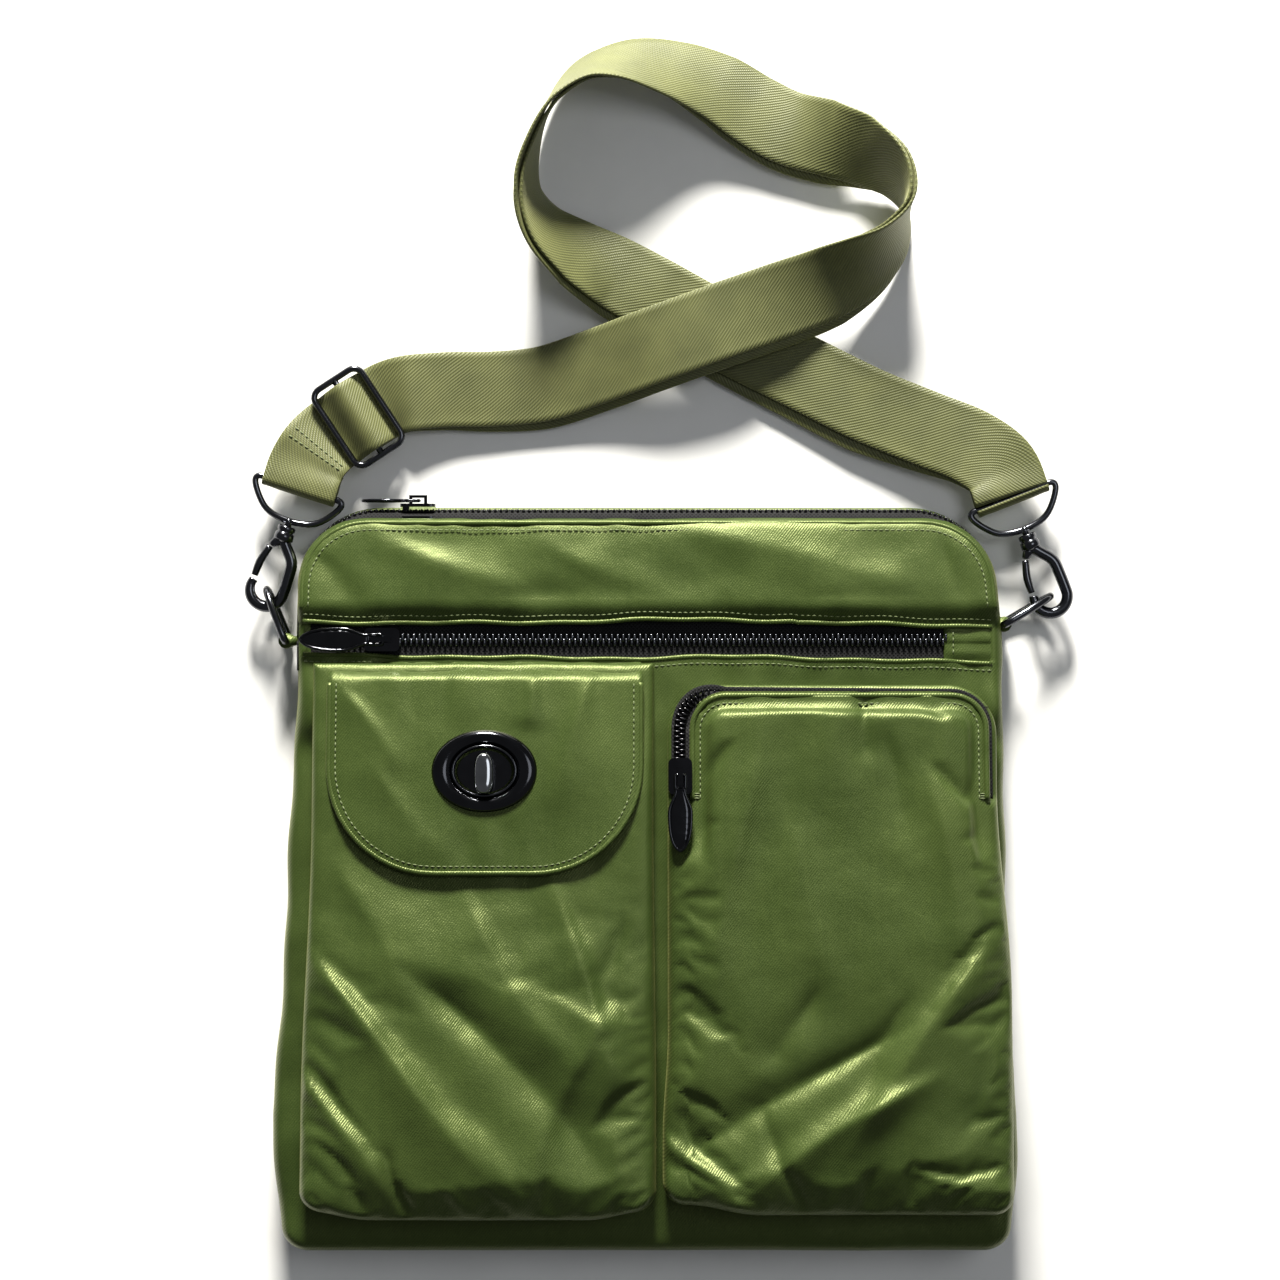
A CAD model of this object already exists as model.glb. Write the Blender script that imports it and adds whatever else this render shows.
"""A green nylon crossbody purse lying on its back, with its doubled webbing strap looped above it.

Everything is in metres, in the frame that the CAD model uses: +X to the right, +Y from the base to the top zip,
+Z out of the front. Sizes are written in millimetres times MM. Each piece rides on one CAD body.
"""
import math

import bpy
import numpy as np
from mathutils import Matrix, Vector, noise
from mathutils.bvhtree import BVHTree


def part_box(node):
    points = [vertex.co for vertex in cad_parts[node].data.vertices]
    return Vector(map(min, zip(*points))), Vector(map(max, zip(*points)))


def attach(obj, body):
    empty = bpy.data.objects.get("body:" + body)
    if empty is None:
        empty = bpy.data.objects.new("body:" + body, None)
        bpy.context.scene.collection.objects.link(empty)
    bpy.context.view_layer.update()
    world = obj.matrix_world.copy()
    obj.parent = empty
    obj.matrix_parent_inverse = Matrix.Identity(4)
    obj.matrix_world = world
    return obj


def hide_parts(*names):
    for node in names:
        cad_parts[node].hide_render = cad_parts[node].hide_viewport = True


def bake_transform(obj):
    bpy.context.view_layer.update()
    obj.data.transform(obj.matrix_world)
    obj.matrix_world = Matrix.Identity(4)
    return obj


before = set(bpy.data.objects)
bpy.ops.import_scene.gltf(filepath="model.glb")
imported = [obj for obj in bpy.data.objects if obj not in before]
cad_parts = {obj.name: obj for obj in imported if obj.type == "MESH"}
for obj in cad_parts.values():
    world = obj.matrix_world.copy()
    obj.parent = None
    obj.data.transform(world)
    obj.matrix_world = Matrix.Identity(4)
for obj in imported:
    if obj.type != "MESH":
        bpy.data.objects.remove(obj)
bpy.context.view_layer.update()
MM = 0.001
UP = np.array([0.0, 0.0, 1.0])

# ---------------------------------------------------------------- driving dimensions, beyond what the frame gives
CLOTH = 1.6 * MM
TOP_CORNER = 32 * MM
BASE_CORNER = 9 * MM
TOOTH_PITCH = 2.6 * MM
STITCH = 2.3 * MM
WEBBING_WIDTH = 30 * MM
WEBBING_THICKNESS = 1.3 * MM
LAYERS_APART = 0.95 * MM
WRAP = 2.3 * MM
BAR_RADIUS = 1.3 * MM
STRAP_SLIDER_HALF = 11 * MM
EYE_TO_RING = 42 * MM
RING_LENGTH = 22 * MM
RING_HALF = 8.6 * MM

# The strap's route between its two layers, in millimetres, and the turn of the webbing about its length in degrees.
ROUTE = [
    (-137, 152, 10.5, 0), (-133.8, 161.8, 10.2, 0), (-127, 171.2, 9.8, 0), (-114, 180.5, 9.3, 0),
    (-100.5, 188.6, 8.6, 0), (-81, 191.5, 5.5, 0), (-61, 192, 4, 0), (-41, 194, 4, 0), (-20, 200.5, 7, 0),
    (4, 209, 12, 0), (28, 217.5, 13.5, 0), (52, 226, 12.5, 6), (72, 233.5, 12, 20), (88, 242, 14, 42),
    (99, 252.5, 16.5, 68), (103.5, 265, 17, 92), (98, 277, 15.5, 118), (86, 284.5, 11.5, 146),
    (71, 288.5, 7.5, 168), (56, 293.5, 5, 182), (43, 301, 5.5, 190), (29, 310.5, 8, 199),
    (13, 318.5, 11, 212), (-6, 322, 14, 228), (-24, 317.5, 16, 245), (-37, 304, 17, 262),
    (-44, 287.5, 17, 272), (-46, 270.5, 16.5, 283), (-39.5, 256, 15, 305), (-27, 246, 11, 328),
    (-11, 237.5, 6, 350), (6, 228.5, 4, 360), (24, 218.5, 4, 360), (42, 209, 4, 360), (62, 199, 4, 360),
    (89, 185.5, 5, 360), (112, 176, 7, 360), (130, 168.5, 9, 360), (141, 160, 10.3, 360),
    (145.5, 148.5, 10.5, 360),
]
SLIDER_STATION = 3


# ---------------------------------------------------------------- mesh helpers
def mesh_object(name, shape, material, body="purse", slot="nylon", replaces=(), uv=None):
    """A smooth-shaded piece made of (vertices, faces), riding on a CAD body."""
    vertices, faces = shape
    mesh = bpy.data.meshes.new(name)
    mesh.from_pydata([tuple(v) for v in vertices], [], [tuple(f) for f in faces])
    if uv is not None:
        layer = mesh.uv_layers.new(name="UVMap")
        for loop in mesh.loops:
            layer.data[loop.index].uv = uv[loop.vertex_index]
    mesh.shade_smooth()
    mesh.materials.append(material)
    piece = bpy.data.objects.new(name, mesh)
    bpy.context.scene.collection.objects.link(piece)
    if body:
        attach(piece, body)
    if replaces:
        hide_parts(*replaces)
    return piece


def grid_faces(rows, columns):
    """Quads of a grid of points, row after row."""
    n = columns
    return [(j * n + i, j * n + i + 1, (j + 1) * n + i + 1, (j + 1) * n + i)
            for j in range(rows - 1) for i in range(n - 1)]


def ring_faces(rings, sides, closed):
    """Quads between rings of points, with both ends capped when the tube is open."""
    faces = []
    for i in range(rings if closed else rings - 1):
        j = (i + 1) % rings
        for k in range(sides):
            n = (k + 1) % sides
            faces.append((i * sides + k, i * sides + n, j * sides + n, j * sides + k))
    if not closed:
        faces.append(tuple(reversed(range(sides))))
        faces.append(tuple((rings - 1) * sides + k for k in range(sides)))
    return faces


def unit(v):
    return v / (np.linalg.norm(v) or 1.0)


def tube_mesh(points, radius, closed=False, sides=16, normal=None, flatten=1.0):
    """Vertices and faces of a round wire. radius may be one number or one for each point."""
    points = [np.array(p, float) for p in points]
    radii = radius if hasattr(radius, "__len__") else [radius] * len(points)
    count = len(points)
    vertices = []
    side = None
    for i, p in enumerate(points):
        before = points[(i - 1) % count] if closed or i else p
        after = points[(i + 1) % count] if closed or i < count - 1 else p
        along = unit(after - before)
        if normal is not None:
            side = unit(np.cross(along, normal))
        else:
            seed = side if side is not None else (UP if abs(along[2]) < 0.9 else np.array([1.0, 0, 0]))
            side = unit(seed - along * np.dot(seed, along))
        up = np.cross(side, along)
        for k in range(sides):
            a = 2 * math.pi * k / sides
            vertices.append(p + radii[i] * (side * math.cos(a) + up * math.sin(a) * flatten))
    return vertices, ring_faces(count, sides, closed)


def joined(*meshes):
    """Several shapes, each (vertices, faces), as one."""
    vertices, faces = [], []
    for vs, fs in meshes:
        start = len(vertices)
        vertices += list(vs)
        faces += [tuple(start + i for i in f) for f in fs]
    return vertices, faces


def smooth_path(points, per_span=6, closed=False):
    """A Catmull-Rom curve through the points."""
    p = [np.array(q, float) for q in points]
    n = len(p)
    out = []
    for i in range(n if closed else n - 1):
        a, b = p[i], p[(i + 1) % n]
        before = p[(i - 1) % n] if closed or i else 2 * a - b
        after = p[(i + 2) % n] if closed or i < n - 2 else 2 * b - a
        for s in range(per_span):
            t = s / per_span
            out.append(0.5 * (2 * a + (b - before) * t + (2 * before - 5 * a + 4 * b - after) * t * t
                              + (3 * a - before - 3 * b + after) * t ** 3))
    if not closed:
        out.append(p[-1])
    return out


def resampled(points, step):
    """Points at an even spacing along a line."""
    p = np.array(points, float)
    lengths = np.concatenate([[0], np.cumsum(np.linalg.norm(np.diff(p, axis=0), axis=1))])
    count = max(2, int(round(lengths[-1] / step)) + 1)
    at = np.linspace(0, lengths[-1], count)
    return np.stack([np.interp(at, lengths, p[:, k]) for k in range(3)], axis=1)


def ease(share):
    share = min(max(share, 0.0), 1.0)
    return share * share * (3 - 2 * share)


# ---------------------------------------------------------------- materials
class Nodes:
    """A small wrapper that adds shader nodes and joins them."""

    def __init__(self, name):
        self.material = bpy.data.materials.new(name)
        self.material.use_nodes = True
        self.tree = self.material.node_tree
        self.shader = self.tree.nodes["Principled BSDF"]

    def add(self, kind, inputs=None, **settings):
        node = self.tree.nodes.new(kind)
        for key, value in settings.items():
            setattr(node, key, value)
        for key, value in (inputs or {}).items():
            if isinstance(value, bpy.types.NodeSocket):
                self.tree.links.new(value, node.inputs[key])
            else:
                node.inputs[key].default_value = value
        return node

    def set(self, **values):
        for key, value in values.items():
            socket = self.shader.inputs[key.replace("_", " ")]
            if isinstance(value, bpy.types.NodeSocket):
                self.tree.links.new(value, socket)
            else:
                socket.default_value = value

    def math(self, operation, a, b):
        return self.add("ShaderNodeMath", {0: a, 1: b}, operation=operation).outputs[0]

    def place(self, kind="Object"):
        return self.add("ShaderNodeTexCoord").outputs[kind]

    def noise(self, scale, detail, vector):
        inputs = {"Scale": scale, "Detail": detail, "Roughness": 0.5, "Vector": vector}
        return self.add("ShaderNodeTexNoise", inputs).outputs["Fac"]

    def blend(self, *weighted):
        """A sum of (weight, value) pairs."""
        parts = [self.math("MULTIPLY", value, weight) for weight, value in weighted]
        total = parts[0]
        for part in parts[1:]:
            total = self.math("ADD", total, part)
        return total

    def ramp(self, value, *stops):
        node = self.add("ShaderNodeValToRGB", {"Fac": value})
        elements = node.color_ramp.elements
        while len(elements) < len(stops):
            elements.new(0.5)
        for element, (position, color) in zip(elements, stops):
            element.position = position
            element.color = (*color, 1.0)
        return node.outputs["Color"]

    def span(self, value, low, high):
        return self.add("ShaderNodeMapRange", {"Value": value, "To Min": low, "To Max": high}).outputs["Result"]

    def bump(self, *layers):
        """Bumps on top of each other, each (height, strength, distance)."""
        normal = None
        for height, strength, distance in layers:
            inputs = {"Height": height, "Strength": strength, "Distance": distance}
            if normal is not None:
                inputs["Normal"] = normal
            normal = self.add("ShaderNodeBump", inputs).outputs["Normal"]
        self.set(Normal=normal)


def twill(nodes, pitch, vector, angle):
    """Diagonal weave lines, brightest along each yarn."""
    turned = nodes.add("ShaderNodeMapping", {"Vector": vector, "Rotation": (0, 0, math.radians(angle))})
    wave = nodes.add(
        "ShaderNodeTexWave",
        {"Vector": turned.outputs["Vector"], "Scale": 0.314 / pitch, "Distortion": 0.6, "Detail": 1.0},
        wave_type="BANDS", bands_direction="X",
    )
    return wave.outputs["Fac"]


def nylon_material(name, dark, light):
    """Satin twill: fine diagonal yarns with their own speckle, cloudy colour, and a yellowish sheen."""
    m = Nodes(name)
    place = m.place()
    weave = twill(m, 0.9 * MM, place, 38)
    yarn = m.noise(1700, 2, place)
    slub = m.noise(420, 3, m.add("ShaderNodeMapping", {"Vector": place, "Rotation": (0, 0, 0.66),
                                                       "Scale": (1, 0.12, 1)}).outputs["Vector"])
    cloud = m.noise(16, 4, place)
    grain = m.blend((0.55, yarn), (0.3, weave), (0.2, slub))
    m.set(Base_Color=m.ramp(m.blend((0.42, cloud), (0.58, grain)), (0.32, dark), (0.66, light)))
    m.set(Roughness=m.span(m.blend((0.5, cloud), (0.5, grain)), 0.26, 0.50))
    m.set(Metallic=0.15, Sheen_Weight=0.1, Sheen_Roughness=0.35, Sheen_Tint=(0.7, 0.72, 0.25, 1))
    m.set(Specular_IOR_Level=0.5, Specular_Tint=(0.88, 0.92, 0.45, 1))
    m.bump((m.noise(70, 3, place), 0.25, 1.4 * MM), (m.noise(240, 3, place), 0.12, 0.5 * MM),
           (weave, 0.35, 0.15 * MM), (yarn, 0.6, 0.16 * MM))
    return m.material


def webbing_material():
    m = Nodes("webbing_twill")
    uv = m.place("UV")
    diagonal = twill(m, 1.05 * MM, uv, 52)
    ribs = twill(m, 0.62 * MM, uv, 0)
    wear = m.noise(60, 4, uv)
    height = m.blend((0.7, diagonal), (0.3, ribs))
    in_grooves, on_ribs = (0.2, (0.040, 0.046, 0.012)), (0.8, (0.120, 0.128, 0.036))
    m.set(Base_Color=m.ramp(m.blend((0.45, height), (0.55, wear)), in_grooves, on_ribs))
    m.set(Roughness=m.span(wear, 0.45, 0.62), Metallic=0.1, Sheen_Weight=0.3, Sheen_Tint=(0.7, 0.7, 0.4, 1))
    m.bump((height, 0.55, 0.25 * MM), (m.noise(900, 2, uv), 0.15, 0.1 * MM))
    return m.material


def tape_material():
    m = Nodes("zip_tape_weave")
    place = m.place()
    height = m.math("MAXIMUM", twill(m, 1.1 * MM, place, 45), twill(m, 1.1 * MM, place, -45))
    m.set(Base_Color=m.ramp(height, (0.3, (0.0025, 0.0025, 0.003)), (0.9, (0.013, 0.013, 0.014))))
    m.set(Roughness=m.span(m.noise(300, 2, place), 0.7, 0.95), Specular_IOR_Level=0.15)
    m.bump((height, 0.6, 0.3 * MM))
    return m.material


def thread_material():
    m = Nodes("sewing_thread")
    place = m.place()
    twist = twill(m, 0.25 * MM, place, 30)
    m.set(Base_Color=m.ramp(twist, (0.2, (0.050, 0.076, 0.018)), (0.8, (0.115, 0.145, 0.042))))
    m.set(Roughness=m.span(twist, 0.45, 0.6), Sheen_Weight=0.3)
    m.bump((twist, 0.4, 0.05 * MM))
    return m.material


def metal_material(name, color, rough_low, rough_high):
    m = Nodes(name)
    place = m.place()
    smudge = m.noise(120, 4, place)
    scratch = m.noise(1500, 2, place)
    m.set(Base_Color=m.ramp(smudge, (0.3, tuple(0.8 * c for c in color)), (0.8, tuple(1.2 * c for c in color))))
    m.set(Metallic=1.0, Roughness=m.span(smudge, rough_low, rough_high), Coat_Weight=0.3, Coat_Roughness=0.08)
    m.bump((scratch, 0.03, 0.05 * MM))
    return m.material


NYLON = nylon_material("nylon_twill", (0.019, 0.035, 0.0078), (0.042, 0.065, 0.015))
BACK_NYLON = nylon_material("nylon_back", (0.018, 0.036, 0.0065), (0.036, 0.064, 0.011))
WEBBING = webbing_material()
TAPE = tape_material()
THREAD = thread_material()
GUNMETAL = metal_material("gunmetal_plating", (0.065, 0.068, 0.078), 0.12, 0.24)
TEETH = metal_material("teeth_plating", (0.10, 0.105, 0.12), 0.18, 0.3)
BLACK_TEETH = metal_material("black_teeth", (0.012, 0.012, 0.014), 0.25, 0.4)
BLACK_METAL = metal_material("black_nickel_plating", (0.030, 0.031, 0.036), 0.08, 0.18)
KNOB_METAL = metal_material("knob_plating", (0.30, 0.31, 0.33), 0.08, 0.18)
LINING = nylon_material("lining_cloth", (0.006, 0.008, 0.005), (0.014, 0.017, 0.010))


# ---------------------------------------------------------------- camera
def camera():
    """Straight above the purse and its strap, in a view half a metre wide at the height of the cloth."""
    sensor, view_width, distance, cloth_height = 36, 0.500, 1.15, 28 * MM
    data = bpy.data.cameras.new("camera")
    data.sensor_width = sensor
    data.lens = sensor * distance / view_width
    eye = bpy.data.objects.new("camera", data)
    bpy.context.scene.collection.objects.link(eye)
    eye.location = (-2 * MM, 92 * MM, distance + cloth_height)
    bpy.context.scene.camera = eye


# ---------------------------------------------------------------- strap
class Route:
    """The strap's route as three.js's centripetal Catmull-Rom curve through its points."""

    def __init__(self, stations):
        self.p = [np.array(s[:3], float) * MM for s in stations]
        self.turn = [s[3] for s in stations]
        self.fine = [self.point(t) for t in np.linspace(0, 1, 4001)]
        steps = np.linalg.norm(np.diff(np.array(self.fine), axis=0), axis=1)
        self.lengths = np.concatenate([[0], np.cumsum(steps)])
        self.length = self.lengths[-1]

    def point(self, t):
        p = self.p
        spot = min(t * (len(p) - 1), len(p) - 1 - 1e-9)
        i = int(spot)
        w = spot - i
        a, b = p[i], p[i + 1]
        before = p[i - 1] if i else 2 * a - b
        after = p[i + 2] if i < len(p) - 2 else 2 * b - a
        d0, d1, d2 = (math.sqrt(np.linalg.norm(v)) for v in (a - before, b - a, after - b))
        t1 = ((a - before) / d0 - (b - before) / (d0 + d1) + (b - a) / d1) * d1
        t2 = ((b - a) / d1 - (after - a) / (d1 + d2) + (after - b) / d2) * d1
        return a + t1 * w + (-3 * a + 3 * b - 2 * t1 - t2) * w * w + (2 * a - 2 * b + t1 + t2) * w ** 3

    def frame(self, distance):
        """Place, length, width and face directions of the webbing at a distance along the route."""
        u = min(max(distance, 0.0), self.length)
        t = float(np.interp(u, self.lengths, np.linspace(0, 1, len(self.lengths))))
        spot = min(t * (len(self.p) - 1), len(self.p) - 1.0001)
        i = int(spot)
        turn = math.radians(self.turn[i] + (self.turn[i + 1] - self.turn[i]) * (spot - i))
        along = unit(self.point(min(t + 1e-4, 1.0)) - self.point(max(t - 1e-4, 0.0)))
        level = unit(np.array([-along[1], along[0], 0.0]))
        across = level * math.cos(turn) + np.cross(along, level) * math.sin(turn)
        return self.point(t), along, across, np.cross(along, across)

    def at_station(self, index):
        return float(self.lengths[round(index / (len(self.p) - 1) * 4000)])


ROAD = Route(ROUTE)
SLIDER_AT = ROAD.at_station(SLIDER_STATION)


def outer_offset(d):
    """How far the outer layer's middle stands off the route; it goes over the strap slider's middle bar."""
    from_slider = abs(d - SLIDER_AT)
    from_eye = min(d, ROAD.length - d)
    if from_slider < STRAP_SLIDER_HALF:
        return (WRAP + 0.4 * MM) * math.cos(math.pi * from_slider / STRAP_SLIDER_HALF)
    near_eye = WRAP - (WRAP - LAYERS_APART) * ease((from_eye - 2 * MM) / (10 * MM))
    share = ease((from_slider - STRAP_SLIDER_HALF) / (13 * MM))
    return (-WRAP - 0.4 * MM) * (1 - share) + near_eye * share


def inner_offset(d):
    from_slider = d - SLIDER_AT
    near_eye = WRAP - (WRAP - LAYERS_APART) * ease((ROAD.length - d - 2 * MM) / (10 * MM))
    if from_slider < STRAP_SLIDER_HALF:
        return -WRAP - 2.3 * MM * (1 - math.cos(math.pi * max(from_slider, 0) / STRAP_SLIDER_HALF)) / 2
    share = ease((from_slider - STRAP_SLIDER_HALF) / (13 * MM))
    return (-WRAP - 2.3 * MM) * (1 - share) - near_eye * share


# How far the inner layer has slipped sideways on the outer one: (station of the route, millimetres).
SLIP = [(0, 0), (4, 0), (7, -3), (12, -3.5), (15, -0.5), (18, 3.5), (21, 1), (23, -4.5), (25, -4.5), (28, -1.5),
        (31, -3.5), (35, -4.5), (37, -1), (38, 0), (39, 0)]


def slip(d):
    along = [ROAD.at_station(i) for i, _ in SLIP]
    return float(np.interp(d, along, [mm * MM for _, mm in SLIP]))


def webbing_stations(start, end, offset, flip=1, slipped=0.0):
    distances = np.linspace(start, end, max(2, round(abs(end - start) / (1.6 * MM))))
    out = []
    for d in distances:
        place, along, across, up = ROAD.frame(d)
        out.append((place + up * offset(d) + across * slipped * slip(d), across, up * flip))
    return out


def wrap_stations(distance, outward, start, end):
    place, along, across, up = ROAD.frame(distance)
    out = []
    for angle in np.radians(np.linspace(start, end, 13)):
        away = along * outward * math.cos(angle) + up * math.sin(angle)
        out.append((place + away * WRAP, across, away))
    return out


def ribbon(name, stations, replaced):
    """Webbing with rounded edges, and UVs in metres along and across it."""
    half, thick = WEBBING_WIDTH / 2, WEBBING_THICKNESS / 2
    edge = [(half - 0.4 * MM, thick), (half - 0.1 * MM, 0.55 * thick), (half, 0), (half - 0.1 * MM, -0.55 * thick),
            (half - 0.4 * MM, -thick)]
    inside = np.linspace(half - 2.5 * MM, -half + 2.5 * MM, 7)
    dip = 0.12 * MM
    section = [(x, thick - dip * (abs(x) > half - 3 * MM)) for x in -inside] + edge
    section += [(x, -thick + dip * (abs(x) > half - 3 * MM)) for x in inside]
    section += [(-x, z) for x, z in reversed(edge)]
    vertices, uv, travelled, last = [], [], 0.0, None
    for place, across, up in stations:
        travelled += 0 if last is None else float(np.linalg.norm(place - last))
        last = place
        for a, b in section:
            vertices.append(place + across * a + up * b)
            uv.append((travelled, a))
    shape = vertices, ring_faces(len(stations), len(section), False)
    piece = mesh_object(name, shape, WEBBING, slot="webbing", replaces=[replaced], uv=uv)
    return piece, [place for place, _, _ in stations]


def strap():
    tail = webbing_stations(13 * MM, 0.6 * MM, lambda d: -WRAP + 0.9 * MM * ease(d / (12 * MM)), -1)
    outer, path = ribbon(
        "strap_outer_layer",
        tail + wrap_stations(0, -1, -85, 85) + webbing_stations(0.6 * MM, ROAD.length - 0.8 * MM, outer_offset),
        "strap_outer_webbing",
    )
    inner, under = ribbon(
        "strap_inner_layer",
        wrap_stations(ROAD.length, 1, 85, -85)
        + webbing_stations(ROAD.length - 0.6 * MM, SLIDER_AT, inner_offset, -1, 1.0),
        "strap_inner_webbing",
    )

    place, along, across, up = ROAD.frame(SLIDER_AT)
    place = place + up * 0.25 * MM
    half_width = WEBBING_WIDTH / 2 + BAR_RADIUS + 1.3 * MM
    corner = 4 * MM
    outline = []
    for sx, sy, start in ((1, 1, 0), (-1, 1, 90), (-1, -1, 180), (1, -1, 270)):
        for a in np.radians(np.linspace(start, start + 90, 7)):
            x = sx * (half_width - corner) + corner * math.cos(a)
            y = sy * (STRAP_SLIDER_HALF - corner) + corner * math.sin(a)
            outline.append(place + across * x + along * y)
    bar = [place + across * x for x in np.linspace(-half_width, half_width, 5)]
    shape = joined(tube_mesh(outline, BAR_RADIUS, closed=True, sides=20, normal=up),
                   tube_mesh(bar, BAR_RADIUS, sides=20, normal=up))
    mesh_object("strap_slider_frame", shape, GUNMETAL, slot="gunmetal", replaces=["strap_slider"])

    rows = []
    for d in (15.5 * MM, 18.5 * MM):
        place, along, across, up = ROAD.frame(d)
        high = place + up * (outer_offset(d) + WEBBING_THICKNESS / 2)
        rows.append(stitch_mesh([high + across * x for x in np.linspace(-12.5 * MM, 12.5 * MM, 12)], up))
    mesh_object("strap_end_stitches", joined(*rows), THREAD, slot="webbing")


def stitch_mesh(points, normal):
    """A row of thread stitches along a line: each a small spindle that dips in at both ends."""
    share, radius = 0.74, 0.28 * MM
    line = resampled(points, 0.5 * MM)
    total = float(np.linalg.norm(np.diff(line, axis=0), axis=1).sum())
    count = max(1, int(total / STITCH))
    at = np.linspace(0, total, len(line))
    where = lambda s: np.array([np.interp(s, at, line[:, k]) for k in range(3)])
    parts = []
    for i in range(count):
        start = (i + 0.5 - share / 2) * total / count
        end = start + share * total / count
        samples, radii = [], []
        for w in (0.0, 0.18, 0.5, 0.82, 1.0):
            lift = math.sin(math.pi * w)
            s = start + (end - start) * w
            samples.append(where(s) + normal * (lift * 0.30 * MM - 0.10 * MM))
            radii.append(radius * (0.35 + 0.65 * lift ** 0.5))
        parts.append(tube_mesh(samples, radii, sides=6))
    return joined(*parts)


camera()
strap()


# ---------------------------------------------------------------- sloping faces, from the frame
class Face:
    """The height of a flat sloping panel over the table: highest at its low-y edge."""

    def __init__(self, node):
        low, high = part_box(node)
        self.y0, self.y1 = low[1], high[1]
        self.z0 = high[2]
        self.slope = (low[2] + CLOTH - high[2]) / (high[1] - low[1])

    def __call__(self, y):
        return self.z0 + (y - self.y0) * self.slope


FRONT = Face("front_lower_panel")
LEFT_FACE = Face("left_pocket_front")
RIGHT_FACE = Face("right_pocket_front")
POUCH_FOOT = lambda y: FRONT(y) - 0.2 * MM


def fold(x, y, start, end, width, height, skew=0.0):
    """A ridge or, below zero, a valley from start to end in millimetres: one flank steep, the other soft."""
    ax, ay = start[0] * MM, start[1] * MM
    bx, by = end[0] * MM, end[1] * MM
    length = math.hypot(bx - ax, by - ay)
    along = ((x - ax) * (bx - ax) + (y - ay) * (by - ay)) / (length * length)
    off = ((x - ax) * (by - ay) - (y - ay) * (bx - ax)) / length
    if along < -0.25 or along > 1.25:
        return 0.0
    off += 0.05 * length * math.sin(2.6 * along + ax / MM)
    fade = ease((along + 0.25) / 0.45) * ease((1.25 - along) / 0.45)
    spread = width * MM * (0.6 + 0.8 * ease(along)) * (1 + skew * (1 if off > 0 else -1))
    return height * MM * fade * math.exp(-abs(off / spread) ** 1.5)


def folds(x, y, rows):
    return sum(fold(x, y, *row) for row in rows)


def crumple(x, y, size, height, seed=0.0, stretch=(1.0, 1.0)):
    """Soft wrinkles: ridged noise, seeded by where it is taken."""
    v = Vector((x / size * stretch[0], y / size * stretch[1], seed))
    a = noise.noise(v)
    b = noise.noise(v * 2.1 + Vector((3.1, 1.7, 0)))
    return height * (a + 0.45 * b)


def pucker(s, distance, seed=0.0, size=6.5 * MM, height=0.55 * MM, reach=7 * MM):
    """Small gathers that a seam pulls into the cloth: they run away from it and fade."""
    if distance > 4 * reach:
        return 0.0
    ripple = noise.noise(Vector((s / size, seed, distance / (5 * size)))) + 0.4 * math.sin(s / size * 3.1 + seed)
    return height * ripple * math.exp(-max(distance, 0.0) / reach)


def settled(vertices, faces, held):
    """Lets cloth that is a little too large for its seams buckle by itself. held is 1 where it is sewn down, and
    between 0 and 1 where it only moves partly. It is simulated at ten times its size, where cloth is steadier."""
    large, excess, pressure, cap, frames = 10.0, 0.025, 0.9, 5 * MM, 16
    mesh = bpy.data.meshes.new("settling")
    mesh.from_pydata([tuple(large * c for c in v) for v in vertices], [], faces)
    cloth = bpy.data.objects.new("settling", mesh)
    bpy.context.scene.collection.objects.link(cloth)
    cloth.vertex_groups.new(name="held").add([i for i, h in enumerate(held) if h >= 1.0], 1.0, "REPLACE")
    modifier = cloth.modifiers.new("cloth", "CLOTH")
    modifier.point_cache.frame_start = 1
    modifier.point_cache.frame_end = frames
    settings = modifier.settings
    settings.quality = 7
    settings.mass = 0.12
    settings.tension_stiffness = settings.compression_stiffness = 14
    settings.shear_stiffness = 6
    settings.bending_stiffness = 0.5
    settings.air_damping = 3
    settings.vertex_group_mass = "held"
    settings.shrink_min = -excess
    settings.use_pressure = True
    settings.uniform_pressure_force = pressure
    settings.effector_weights.gravity = 0
    for number in range(1, frames + 1):
        bpy.context.scene.frame_set(number)
    result = cloth.evaluated_get(bpy.context.evaluated_depsgraph_get()).data
    moved = [np.array(v.co) / large for v in result.vertices]
    bpy.data.objects.remove(cloth)
    bpy.context.scene.frame_set(1)
    out = []
    for before, after, hold in zip(vertices, moved, held):
        step = (after - np.array(before)) * (1.0 - hold)
        length = float(np.linalg.norm(step))
        out.append(np.array(before) + step * (min(length, cap) / length if length > 1e-9 else 0.0))
    return out


# Insets and heights of a soft rounded edge: metres in from the outline, share of the panel's height.
SOFT_EDGE = [(0.0, 0.0), (-0.7, 0.18), (-1.1, 0.36), (-1.2, 0.54), (-0.9, 0.70), (-0.3, 0.83), (0.7, 0.92),
             (2.0, 0.97), (3.8, 0.992), (6.0, 1.0)]


def stations_between(low, high, step, extra=()):
    """Places across a panel with the share of full height at each: a soft edge, even steps, a soft edge."""
    reach = SOFT_EDGE[-1][0] * MM
    even = np.linspace(low + reach, high - reach, max(3, round((high - low) / step)))[1:-1]
    out = [(low + i * MM, h) for i, h in SOFT_EDGE]
    out += [(m, 1.0) for m in sorted(set(even) | set(extra))]
    return out + [(high - i * MM, h) for i, h in reversed(SOFT_EDGE)]


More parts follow.
